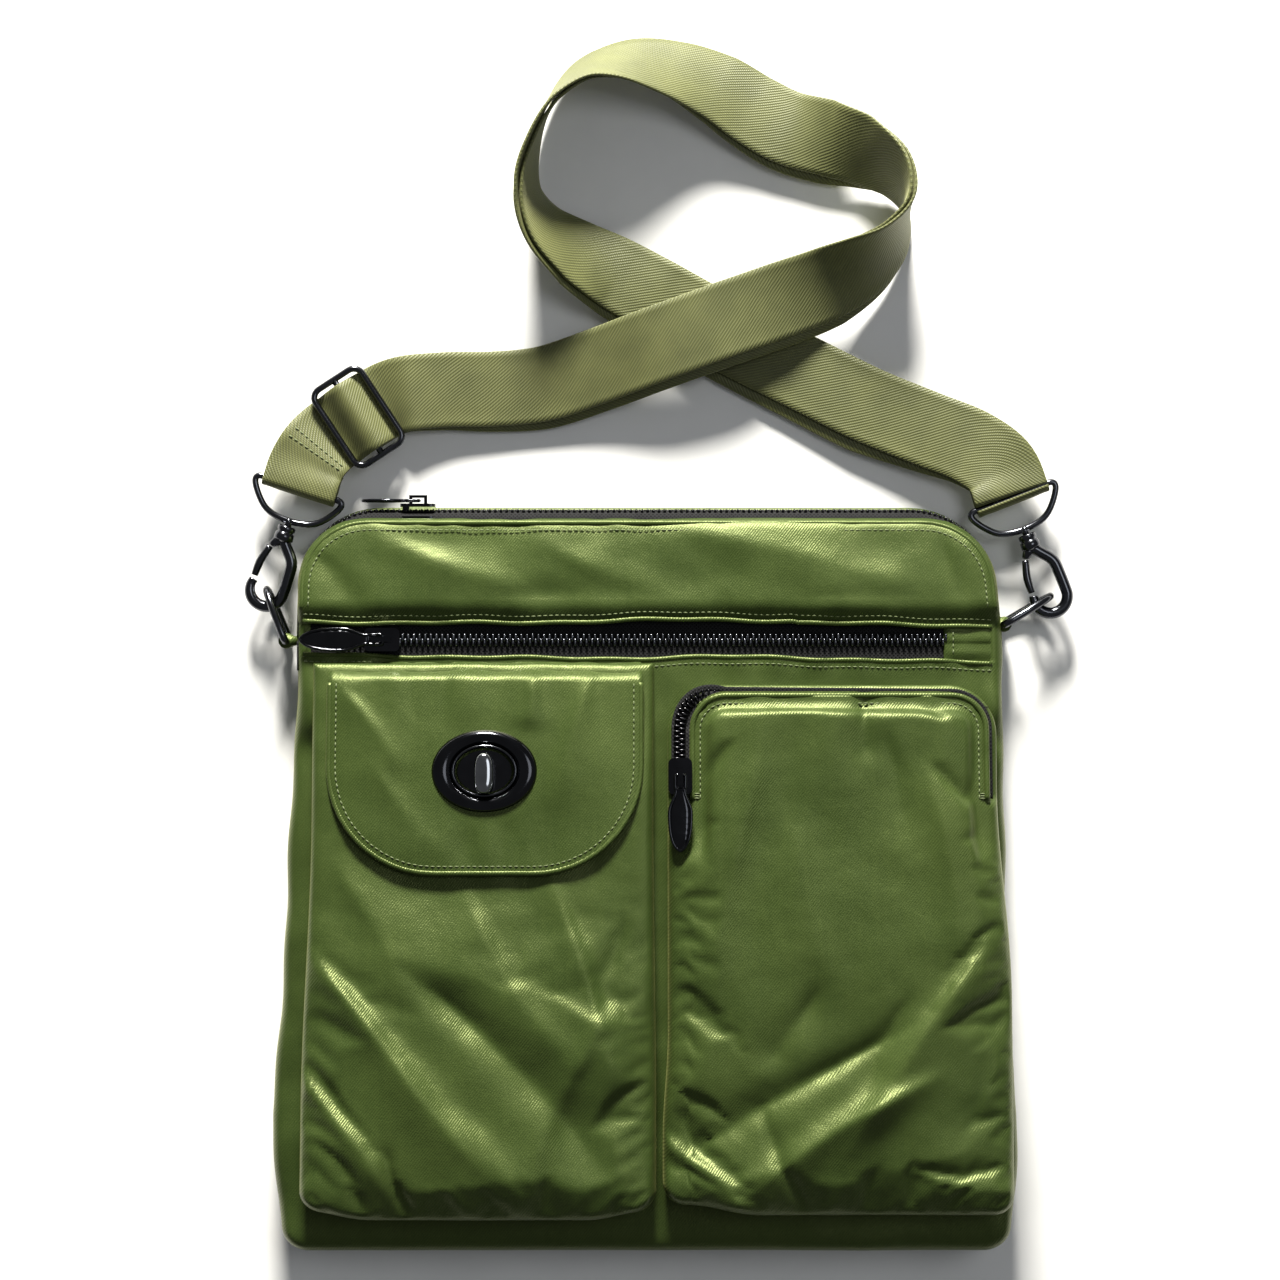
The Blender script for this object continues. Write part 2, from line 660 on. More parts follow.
def rounded_place(x, y, box, top_radius, base_radius):
    """Moves points of a rectangular grid so that the outline's corners are round."""
    x0, x1, y0, y1 = box
    for cx, cy, sx, sy, r in ((x0, y1, 1, -1, top_radius), (x1, y1, -1, -1, top_radius),
                              (x0, y0, 1, 1, base_radius), (x1, y0, -1, 1, base_radius)):
        dx, dy = r - (x - cx) * sx, r - (y - cy) * sy
        if r > 0 and dx > 0 and dy > 0:
            shrink = max(dx, dy) / math.hypot(dx, dy)
            return cx + (r - dx * shrink) * sx, cy + (r - dy * shrink) * sy
    return x, y


def soft_panel(box, face, foot, relief, step, top_radius=0.0, base_radius=0.0, extra_rows=(), extra_columns=(),
               held=None, outline=None):
    """A soft pouch front: its face, and sides that turn down to the foot. held, a share by place, says where it
    is kept still while it settles, and a panel without it doesn't settle."""
    x0, x1, y0, y1 = box
    columns = stations_between(x0, x1, step, extra_columns)
    rows = stations_between(y0, y1, step, extra_rows)
    vertices, kept = [], []
    for y_flat, hy in rows:
        for x_flat, hx in columns:
            x, y = rounded_place(x_flat, y_flat, box, top_radius, base_radius)
            share = min(hx, hy)
            low = foot(y)
            z = low + (face(y) - low) * share + relief(x, y) * ease((share - 0.5) / 0.5)
            if held:
                kept.append(1.0 if share < 0.93 else min(0.99, float(held(x, y))))
            if outline:
                x, y = outline(x, y)
            vertices.append((x, y, z))
    faces = grid_faces(len(rows), len(columns))
    return (settled(vertices, faces, kept) if held else vertices), faces


def surface_of(piece):
    """A function that gives the height of the piece's surface under a point, looking straight down."""
    coordinates = [tuple(v.co) for v in piece.data.vertices]
    tree = BVHTree.FromPolygons(coordinates, [tuple(p.vertices) for p in piece.data.polygons])

    def height(x, y):
        hit = tree.ray_cast(Vector((x, y, 0.2)), -Vector(UP))[0]
        return 0.0 if hit is None else hit.z

    return height


def on_surface(points, height, lift=0.0):
    return [np.array([x, y, height(x, y) + lift]) for x, y in points]


def seam(name, points, height, body="purse"):
    """Stitches that follow a line of (x, y) points over a surface."""
    mesh_object(name, stitch_mesh(on_surface(points, height), UP), THREAD, body=body)


def hem(name, points, height, width, lift, body="purse"):
    """A rolled edge along a line of (x, y) points over a surface."""
    line = resampled(on_surface(points, height, lift), 1.5 * MM)
    mesh_object(name, tube_mesh(line, width, sides=10, normal=UP, flatten=0.7), NYLON, body=body)


def line_points(*corners, step=2 * MM):
    """(x, y) points along straight runs between corners."""
    out = []
    for (ax, ay), (bx, by) in zip(corners, corners[1:]):
        count = max(1, round(math.hypot(bx - ax, by - ay) / step))
        out += [(ax + (bx - ax) * i / count, ay + (by - ay) * i / count) for i in range(count)]
    return out + [corners[-1]]


def arch_points(x0, x1, y0, top, corner, inset=0.0, turns=12):
    """(x, y) points up the left side, round both top corners and down the right side, moved in by inset."""
    r = corner - inset
    out = line_points((x0 + inset, y0), (x0 + inset, top - corner))
    for centre, start, end in ((x0 + corner, 180, 90), (x1 - corner, 90, 0)):
        for a in np.radians(np.linspace(start, end, turns)):
            out.append((centre + r * math.cos(a), top - corner + r * math.sin(a)))
    return out + line_points((x1 - inset, top - corner), (x1 - inset, y0))[1:]


# ---------------------------------------------------------------- body of the purse
BODY_LOW, BODY_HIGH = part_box("back_panel")
BODY = (BODY_LOW[0], BODY_HIGH[0], BODY_LOW[1], BODY_HIGH[1])
ZIP_Y = (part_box("front_yoke_panel")[0][1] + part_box("front_lower_panel")[1][1]) / 2


# Half the body's width at some heights, in millimetres: (y, left half, right half).
OUTLINE = [(-146, 141.5, 142), (-122, 143.5, 144), (-94, 145, 145), (-60, 143, 143), (-11, 140, 140.5),
           (40, 138, 141), (84, 136.5, 140), (110, 136.2, 138.5), (145, 137, 137.5)]


def bodied(x, y):
    """Moves a point of the straight-sided body to the slightly pear-shaped outline of the filled bag."""
    column = 1 if x < 0 else 2
    half = float(np.interp(y / MM, [o[0] for o in OUTLINE], [o[column] for o in OUTLINE]))
    wave = 0.5 * math.sin(y / MM / 17 + column) + 0.35 * math.sin(y / MM / 6.5)
    share = min(abs(x) / BODY[1], 1.0)
    return x * (1 + (half + wave - BODY[1] / MM) / (BODY[1] / MM) * share ** 3), y


# Folds, in millimetres: start, end, width, height and how one-sided they are.
YOKE_FOLDS = [
    ((-98, 128), (-52, 116), 7, 1.5, 0.4), ((-60, 108), (40, 122), 9, -1.5),
    ((-34, 128), (10, 112), 7, 1.2, -0.3), ((20, 130), (108, 114), 9, 1.5, 0.4),
    ((-130, 124), (-112, 106), 5, -1.2), ((116, 130), (126, 108), 5, -1.0), ((64, 106), (118, 109), 4, -0.7),
]
LEFT_FOLDS = [
    ((-124, -40), (-62, -104), 7, 4.6, 0.45), ((-82, -42), (-20, -112), 9, -4.2, -0.3),
    ((-126, -78), (-100, -118), 6, 3.6, 0.4), ((-97, -104), (-90, -126), 4, -2.6),
    ((-36, -12), (-8, -78), 8, 2.8, 0.5), ((-66, -14), (-34, -64), 9, 2.0, 0.5),
    ((-22, -62), (-46, -122), 9, 2.6, 0.4), ((-114, 0), (-92, -44), 9, 1.8, -0.4),
    ((-70, -90), (-50, -122), 6, 1.8, 0.3), ((-8, -20), (-18, -50), 5, -1.6),
]
RIGHT_FOLDS = [
    ((124, -34), (78, -96), 8, 4.4, -0.45), ((98, -82), (34, -124), 7, 4.6, -0.4),
    ((84, -62), (18, -110), 7, -4.0, 0.3), ((64, -44), (48, -70), 6, -2.0), ((98, -48), (84, -80), 5, -1.8),
    ((132, -44), (116, -98), 6, -2.2), ((104, -112), (134, -118), 4, 2.8, 0.3),
    ((12, -100), (36, -126), 5, 3.2, 0.4), ((86, 68), (84, 46), 4, -1.2), ((94, 52), (98, 18), 5, -1.1),
    ((40, 40), (30, -44), 10, 2.0, 0.5), ((108, 30), (120, -34), 10, 1.8, -0.4),
    ((60, 20), (70, -40), 12, 1.6, 0.3), ((48, -92), (60, -124), 4, -1.6),
]
FLAP_FOLDS = [
    ((-118, 70), (-95, 45), 6, 1.3, 0.4), ((-20, 76), (-38, 36), 6, 1.5, -0.4), ((-44, 76), (-46, 58), 4, 1.3),
    ((-104, 40), (-80, 12), 6, 0.9, 0.4),
]


def window_droop(x):
    """The front zip's lower hem hangs a little lower towards the right."""
    return -2.4 * MM * ease((x / MM - 10) / 110)


def window_edge(x, side):
    """The edge of the front zip's window, a little wavy as hemmed nylon is: side is 1 above, -1 below."""
    wave = 0.7 * math.sin(x / MM / 34 + 0.8 * side) + 0.4 * math.sin(x / MM / 13 + side)
    wave += 0.25 * math.sin(x / MM / 5.1 + 2 * side)
    droop = window_droop(x) * (0.15 if side > 0 else 1.0)
    return ZIP_Y + side * (5.6 * MM + (1.2 * MM if side > 0 and x < 60 * MM else 0.6 * MM)) + wave * MM + droop


def body_relief(x, y):
    mx, my = x / MM, y / MM
    z = crumple(x, y, 42 * MM, 0.9 * MM, 1.5, (1.0, 1.6))
    z += crumple(x, y, 16 * MM, 0.35 * MM, 4.0)
    if y > window_edge(x, 1):
        z += 4.0 * MM * ease((my - 97) / 10) * (1 - min(max((my - 105) / 36, 0), 1) ** 1.3)
        z += folds(x, y, YOKE_FOLDS)
        z += pucker(x, y - window_edge(x, 1) - 2 * MM, 3.0, 7 * MM, 0.4 * MM, 5 * MM)
        z += pucker(x, 139 * MM - y, 5.0, 8 * MM, 0.35 * MM, 5 * MM)
    else:
        z += pucker(x, window_edge(x, -1) - 2 * MM - y, 7.0, 8 * MM, 0.6 * MM, 6 * MM)
        for px, py, reach, size in ((-133, 70, 7, 2.2), (-134, 50, 6, -2.0), (-131, 60, 5, 1.5), (138, 66, 7, 2.2),
                                    (137, 54, 5, -2.6), (-134, -20, 8, 1.0), (139, -30, 9, 1.2), (138, 5, 7, -1.0)):
            z += size * MM * math.exp(-((mx - px) / reach) ** 2 - ((my - py) / reach / 1.3) ** 2)
    if abs(mx) < 134 and abs(my - 94) < 40:
        depth = 3.0 * MM
        inside = ease(min(window_edge(x, 1) - y, y - window_edge(x, -1)) / (0.9 * MM) + 0.5)
        z = z * (1 - inside) - depth * inside
    return z


def body():
    """The sewn shell with its window for the front zip, the back, the seam round the back, and the hems."""
    x0, x1, y0, y1 = BODY
    yoke_top, yoke_corner = y1 - 4.2 * MM, TOP_CORNER - 4 * MM
    window = [*np.linspace(ZIP_Y + 2 * MM, ZIP_Y + 9 * MM, 19), *np.linspace(ZIP_Y - 11 * MM, ZIP_Y - 3 * MM, 19)]
    panel = soft_panel((x0, x1, y0, yoke_top), FRONT, lambda y: 0.8 * MM, body_relief, step=2.2 * MM,
                       top_radius=yoke_corner, base_radius=BASE_CORNER, extra_rows=window, outline=bodied)
    sides = ["left_side_gusset", "right_side_gusset", "base_gusset"]
    shell = mesh_object("body_shell", panel, NYLON, replaces=["front_yoke_panel", "front_lower_panel", *sides])
    height = surface_of(shell)
    rows, columns = 64, 60
    back = []
    for y in np.linspace(y0, y1, rows):
        for x in np.linspace(x0, x1, columns):
            px, py = rounded_place(x, y, BODY, TOP_CORNER, BASE_CORNER)
            edge = min(px - x0, x1 - px, py - y0, y1 - py)
            back.append((*bodied(px, py), 0.15 * MM + 0.55 * MM * (1 - ease(edge / (5 * MM)))
                         + max(0.0, crumple(px, py, 30 * MM, 0.25 * MM, 8))))
    facing_down = [(d, c, b, a) for a, b, c, d in grid_faces(rows, columns)]
    mesh_object("back_cloth", (back, facing_down), BACK_NYLON, replaces=["back_panel"])

    outline = arch_points(x0, x1, y0 + BASE_CORNER, y1, TOP_CORNER, 0.4 * MM)
    foot = [(*bodied(x, y), 1.5 * MM) for x, y in outline]
    for side, steps in ((x1, np.linspace(0.2, math.pi / 2, 6)), (x0, np.linspace(math.pi / 2, 0.2, 6))):
        for a in steps:
            inward = (0.4 * MM + BASE_CORNER * (1 - math.cos(a))) * (-1 if side > 0 else 1)
            foot.append((*bodied(side + inward, y0 + BASE_CORNER - 8.6 * MM * math.sin(a)), 1.5 * MM))
    loop = resampled(foot + [foot[0]], 2 * MM)[:-1]
    mesh_object("back_seam_piping", tube_mesh(loop, 1.2 * MM, closed=True, sides=10, normal=UP), NYLON)

    xs = np.linspace(x0 + 3.5 * MM, x1 - 1.5 * MM, 150)
    for side, word in ((1, "upper"), (-1, "lower")):
        edge_height = lambda x, y: FRONT(y) + body_relief(x, window_edge(x, side) + side * 2 * MM)
        edge = [(x, window_edge(x, side) + side * 0.5 * MM) for x in xs]
        hem(f"window_hem_{word}", edge, edge_height, width=0.95 * MM, lift=-0.15 * MM)
        seam(f"window_stitches_{word}", [(x, window_edge(x, side) + side * 3.2 * MM) for x in xs], height)
    edge, inner = ([bodied(x, y) for x, y in arch_points(x0, x1, low, yoke_top, yoke_corner, inset)]
                   for low, inset in ((104 * MM, 1.6 * MM), (105 * MM, 4.4 * MM)))
    hem("yoke_top_hem", edge, height, width=1.1 * MM, lift=-0.3 * MM)
    seam("yoke_top_stitches", inner, height)


def teeth_row(name, points, normals, side, replaced, material, size=0.86):
    """Zip teeth along a line: each a small rounded block with a nose towards the other row."""
    # Along each tooth, from its foot to its nose: distance in millimetres, and share of full width and height.
    reach = [(2.9, 0.70, 0.45), (2.5, 0.95, 0.95), (1.2, 1.0, 1.0), (0.3, 0.95, 0.95), (-0.45, 0.75, 0.75),
             (-0.75, 0.45, 0.4)]
    parts = []
    pitch = TOOTH_PITCH * size
    line = resampled(points, pitch)
    for i in range(len(line) - 1):
        a, b = line[i], line[i + 1]
        along = unit(b - a)
        up = normals(a)
        out = unit(np.cross(along, up)) * side
        place = a + (b - a) * (0.25 if side > 0 else 0.75)
        half = pitch * 0.25
        vertices = []
        for distance, wide, tall in reach:
            for k in range(8):
                angle = math.pi * (k + 0.5) / 4
                vertices.append(place + out * distance * size * MM
                                + along * half * wide * 1.15 * math.cos(angle)
                                + up * 1.1 * size * MM * tall * math.sin(angle))
        parts.append((vertices, ring_faces(len(reach), 8, False)))
    mesh_object(name, joined(*parts), material, slot="gunmetal", replaces=[replaced])


def tape_band(name, inner, outer, replaced):
    """A strip of tape between two lines of points, half a millimetre thick."""
    shares = (0, 0.33, 0.66, 1)
    vertices = []
    for a, b in zip(inner, outer):
        a, b = np.array(a), np.array(b)
        vertices += [a + (b - a) * w for w in shares]
        vertices += [a + (b - a) * w - UP * 0.5 * MM for w in reversed(shares)]
    mesh_object(name, (vertices, ring_faces(len(inner), 8, False)), TAPE, slot="zip_tape", replaces=[replaced])


def front_zip():
    """The metal zip in the body's window, and the nylon tab over its right end."""
    x0, x1 = (corner[0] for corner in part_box("front_zip_tape_upper"))
    level = lambda y: FRONT(y) - 1.6 * MM
    xs = np.linspace(x0 + 0.5 * MM, x1 + 3 * MM, 90)
    for side, word in ((1, "upper"), (-1, "lower")):
        far_y = ZIP_Y + side * 12 * MM
        inner = [(x, ZIP_Y + side * 0.4 * MM, level(ZIP_Y)) for x in xs]
        outer = [(x, far_y, level(far_y) - 0.5 * MM) for x in xs]
        tape_band(f"front_zip_cloth_{word}", inner, outer, f"front_zip_tape_{word}")
        node = f"front_zip_teeth_{word}"
        start, end = (corner[0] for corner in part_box(node))
        points = [(x, ZIP_Y, level(ZIP_Y) + 0.75 * MM) for x in np.linspace(start, end, 60)]
        teeth_row(f"front_zip_teeth_metal_{word}", points, lambda p: UP, -side, node, TEETH)

    low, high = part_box("front_zip_end_tab")
    box = (low[0] - 0.5 * MM, high[0] - 1.5 * MM, low[1] + 0.4 * MM, high[1] - 2.6 * MM)
    relief = lambda x, y: crumple(x, y, 9 * MM, 0.4 * MM, 2) + 0.3 * MM * math.sin(y / MM * 1.1)
    panel = soft_panel(box, POUCH_FOOT, lambda y: FRONT(y) - 2.4 * MM, relief, step=1.5 * MM)
    tab = mesh_object("zip_end_tab_cloth", panel, NYLON, replaces=["front_zip_end_tab"])
    seam_x = box[0] + 2.5 * MM
    seam("zip_end_tab_stitches", line_points((seam_x, box[2] + 2 * MM), (seam_x, box[3] - 2 * MM)), surface_of(tab))


def top_zip():
    """The main zip, standing on the body's top edge and round its corners."""
    x0, x1, _, y1 = BODY
    low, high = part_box("top_zip_teeth_front")
    middle = (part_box("top_zip_teeth_back")[0][2] + high[2]) / 2
    edge = arch_points(x0, x1, low[1], y1, TOP_CORNER, 0.9 * MM, turns=16)
    line = [np.array([*bodied(x, y), middle]) for x, y in edge]

    def outward(p):
        cx = min(max(p[0], x0 + TOP_CORNER), x1 - TOP_CORNER)
        cy = min(p[1], y1 - TOP_CORNER)
        return unit(np.array([p[0] - cx, p[1] - cy, 0.0]))

    for side, word in ((1, "front"), (-1, "back")):
        teeth_row(f"top_zip_teeth_metal_{word}", line, outward, -side, f"top_zip_teeth_{word}", BLACK_TEETH)
        near = [p + UP * side * 0.4 * MM + outward(p) * 0.1 * MM for p in line]
        # The front tape slopes up and in under the yoke's hem; the back one stands straight.
        if side > 0:
            far = [p - outward(p) * 4.4 * MM + UP * (FRONT(p[1]) - 2.0 * MM - p[2]) for p in line]
        else:
            far = [p - UP * 7.0 * MM + outward(p) * 0.3 * MM for p in line]
        vertices = []
        for a, b in zip(near, far):
            out = outward(a)
            bend = (a + b) / 2 + (out + UP) * 0.9 * MM * (side > 0)
            vertices += [a, bend, b]
            vertices += [b - out * 0.6 * MM - UP * 0.3 * MM, bend - (out + UP) * 0.5 * MM, a - out * 0.6 * MM]
        shape = vertices, ring_faces(len(near), 6, False)
        mesh_object(f"top_zip_cloth_{word}", shape, TAPE, slot="zip_tape", replaces=[f"top_zip_tape_{word}"])


def zip_pull(name, pointing, normal, length, half_width):
    """A zip's long pull: an eye round the slider's arch, and an oval tab with a raised rim and a ribbed middle."""
    low, high = (np.array(c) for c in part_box(f"{name}_pull"))
    pointing, normal = unit(np.array(pointing, float)), unit(np.array(normal, float))
    across = np.cross(normal, pointing)
    centre = (low + high) / 2
    start = centre - pointing * (length / 2 + 0.35) * MM
    at = lambda along, side, up=0.0: start + (pointing * (along + 0.7) + across * side + normal * up) * MM

    neck, neck_end, widest = 2.1, 5.2, 0.38

    def width_at(d):
        share = (d - neck_end) / (length - neck_end)
        if share < widest:
            return neck + (half_width - neck) * ease(share / widest)
        return half_width * math.sqrt(max(0.0, 1 - ((share - widest) / (1 - widest)) ** 2.6))

    stations = [neck_end + (length - neck_end - 0.4) * i / 28 for i in range(29)] + [length - 0.12]
    rim = [at(d, width_at(d) - 0.55) for d in stations] + [at(d, -width_at(d) + 0.55) for d in reversed(stations)]
    eye = [at(5.0, 1.7), at(2.2, 1.9), at(-0.1, 1.8), at(-0.45, 0), at(-0.1, -1.8), at(2.2, -1.9), at(5.0, -1.7),
           at(5.2, 0)]
    pieces = [tube_mesh(smooth_path(line, spans, closed=True), 0.62 * MM, closed=True, sides=12, normal=normal)
              for line, spans in ((rim, 2), (eye, 4))]
    web, shares = [], (-0.88, -0.45, 0.0, 0.45, 0.88)
    for i, d in enumerate(stations[:-1]):
        rib = 0.16 * math.sin(d * 2.4) ** 2 if 9 < d < length - 4 else 0.0
        swell = 0.22 + rib
        web += [at(d, width_at(d) * w, swell * (1 - 0.5 * abs(w))) for w in shares]
        web += [at(d, width_at(d) * w, -0.3) for w in reversed(shares)]
    pieces.append((web, ring_faces(len(stations) - 1, 10, False)))
    node = f"{name}_pull"
    mesh_object(f"{node}_tab", joined(*pieces), BLACK_METAL, body=node, slot="black_metal", replaces=[node])


# ---------------------------------------------------------------- pockets
def left_relief(x, y):
    z = crumple(x, y, 34 * MM, 1.2 * MM, 11, (1.3, 0.8)) + crumple(x, y, 13 * MM, 0.25 * MM, 12)
    z += folds(x, y, LEFT_FOLDS)
    z += pucker(x, y + 130 * MM, 2.0, 11 * MM, 0.5 * MM, 9 * MM)
    z += pucker(y, x + 129 * MM, 6.0, 13 * MM, 0.25 * MM, 6 * MM)
    return z + pucker(y, 2 * MM - x, 9.0, 13 * MM, 0.25 * MM, 6 * MM)


def right_relief(x, y):
    z = crumple(x, y, 36 * MM, 1.2 * MM, 21, (1.3, 0.8)) + crumple(x, y, 13 * MM, 0.25 * MM, 22)
    z += folds(x, y, RIGHT_FOLDS)
    z += pucker(x, y + 128 * MM, 12.0, 11 * MM, 0.5 * MM, 9 * MM)
    z += pucker(y, x - 10 * MM, 16.0, 13 * MM, 0.25 * MM, 6 * MM)
    z += pucker(y, 136 * MM - x, 19.0, 13 * MM, 0.25 * MM, 6 * MM)
    return z + pucker(x, 75 * MM - y, 22.0, 8 * MM, 0.45 * MM, 7 * MM)


def pouch(side, box, face, relief, step, walls=("front", "left_wall", "right_wall", "base_wall"), **shape):
    """A padded pocket in place of its CAD front and walls."""
    panel = soft_panel(box, face, POUCH_FOOT, relief, step=step, base_radius=7 * MM, **shape)
    nodes = [f"{side}_pocket_{wall}" for wall in walls]
    piece = mesh_object(f"{side}_pocket_cloth", panel, NYLON, replaces=nodes)
    return piece


def left_pocket():
    """The plain pocket under the flap; it is held still there, so that it doesn't press through the flap."""
    low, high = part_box("left_pocket_front")
    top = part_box("flap_top_fold")[1][1]
    box = (low[0], high[0], low[1], top - 1 * MM)
    face = lambda y: LEFT_FACE(y) - 1.6 * MM * ease((y - 50 * MM) / (30 * MM))
    under_flap = lambda x, y: ease((y + 85 * MM) / (95 * MM))
    centre = (low[0] + high[0]) / 2

    def outline(x, y):
        spread = 3.0 * MM * ease((20 * MM - y) / (110 * MM)) * (1 if x < centre else 0.35)
        lift = 3.5 * MM * ease((-110 * MM - y) / (18 * MM)) * ease((abs(x - centre) / MM - 40) / 24)
        return x + spread * (x - centre) / (high[0] - centre), y + lift

    pouch("left", box, face, left_relief, 1.8 * MM, held=under_flap, outline=outline)


def flap_relief(x, y):
    """Gathers that run down from the sewn top edge and fade towards the lock, and small ones at the tip."""
    mx, my = x / MM, y / MM
    from_top = (80 - my) / 80
    ripple = 0.9 * math.sin(mx / 7.4 + 0.6) * math.cos(mx / 19 + 1) + 0.5 * math.sin(mx / 3.9 + 1.3)
    z = 1.15 * MM * ripple * math.exp(-((from_top / 0.26) ** 2)) * ease((mx + 122) / 30)
    z += crumple(x, y, 30 * MM, 0.7 * MM, 31) * (0.4 + 0.6 * ease(from_top))
    z += folds(x, y, FLAP_FOLDS)
    z += 0.5 * MM * math.sin(mx / 2.6) * math.exp(-(((mx + 60) / 24) ** 2) - (((my - 11) / 9) ** 2))
    return max(z, -0.4 * MM)


def flap_outline(inset=0.0):
    """(x, y) points down the left side, round the tip and up the right side."""
    low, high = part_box("flap")
    x0, x1, y0, top = low[0] + inset, high[0] - inset, low[1] + inset, high[1]
    r = FLAP_CORNER - inset
    turns = [(r * math.cos(a), r * math.sin(a)) for a in np.linspace(0.1, math.pi / 2, 12)]
    out = line_points((x0, top), (x0, y0 + r)) + [(x0 + r - c, y0 + r - q) for c, q in turns]
    out += line_points((x0 + r, y0), (x1 - r, y0))[1:] + [(x1 - r + q, y0 + r - c) for c, q in turns]
    return out + line_points((x1, y0 + r), (x1, top))[1:]


LOCK_X, LOCK_Y = -62.5 * MM, 40.7 * MM
LOCK_HOLE = (12.7 * MM, 10.2 * MM)
HINGE_Y = 80 * MM
FLAP_CORNER = 42 * MM


def flap():
    """The flap is one sheet with a hole for the lock, made of rings from the hole out to its outline."""
    low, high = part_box("flap")
    sewn_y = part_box("flap_top_fold")[1][1] + 0.8 * MM
    border = [tuple(p) for p in resampled([(x, y, 0) for x, y in flap_outline()], 2 * MM)]
    border += [(x, sewn_y, 0) for x in np.linspace(high[0], low[0], 60)]
    border = resampled(border + [border[0]], 1.8 * MM)[:-1]
    around = len(border)
    rings = 26
    thickness = 1.5 * MM

    def height(x, y, share):
        """Over the pocket's slope: crowned in the middle, lifted at the tip, and turned down to the sewn edge."""
        crown = 1.6 * MM * math.sin(math.pi * min(1.0, max(0.0, 1 - y / HINGE_Y))) * (1 - share ** 4)
        tip = -0.9 * MM * share ** 8 + 2.4 * MM * ease((48 * MM - y) / (40 * MM)) * share ** 2.5
        base = LEFT_FACE(min(y, HINGE_Y)) + 2.1 * MM
        if y > 77 * MM:
            base -= (LEFT_FACE(HINGE_Y) + thickness - FRONT(y)) * ease((y - 76.5 * MM) / (7 * MM))
        return base + crown + tip + flap_relief(x, y) * ease((share - 0.12) / 0.3)

    top, under = [], []
    for j in range(rings + 1):
        share = j / rings
        for bx, by, _ in border:
            angle = math.atan2((by - LOCK_Y) / LOCK_HOLE[1], (bx - LOCK_X) / LOCK_HOLE[0])
            hx, hy = LOCK_X + LOCK_HOLE[0] * math.cos(angle), LOCK_Y + LOCK_HOLE[1] * math.sin(angle)
            x, y = hx + (bx - hx) * share, hy + (by - hy) * share
            z = height(x, y, share)
            top.append((x, y, z))
            under.append((x, y, z - thickness))
    shift, last = len(top), rings * around
    faces = []
    for i in range(around):
        n = (i + 1) % around
        for start in range(0, last, around):
            a, b, c, d = start + i, start + n, start + around + n, start + around + i
            faces += [(d, c, b, a), (shift + a, shift + b, shift + c, shift + d)]
        faces.append((i, n, shift + n, shift + i))
        faces.append((last + n, last + i, shift + last + i, shift + last + n))
    cloth = mesh_object("flap_cloth", (top + under, faces), NYLON, body=None, replaces=["flap", "flap_top_fold"])
    surface = surface_of(cloth)
    below_hinge = lambda points: [(x, y) for x, y in points if y < 75.5 * MM]
    hem("flap_hem", below_hinge(flap_outline(0.7 * MM)), surface, width=1.1 * MM, lift=-0.5 * MM, body="flap")
    seam("flap_stitches", below_hinge(flap_outline(3.4 * MM)), surface, body="flap")
    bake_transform(cloth)


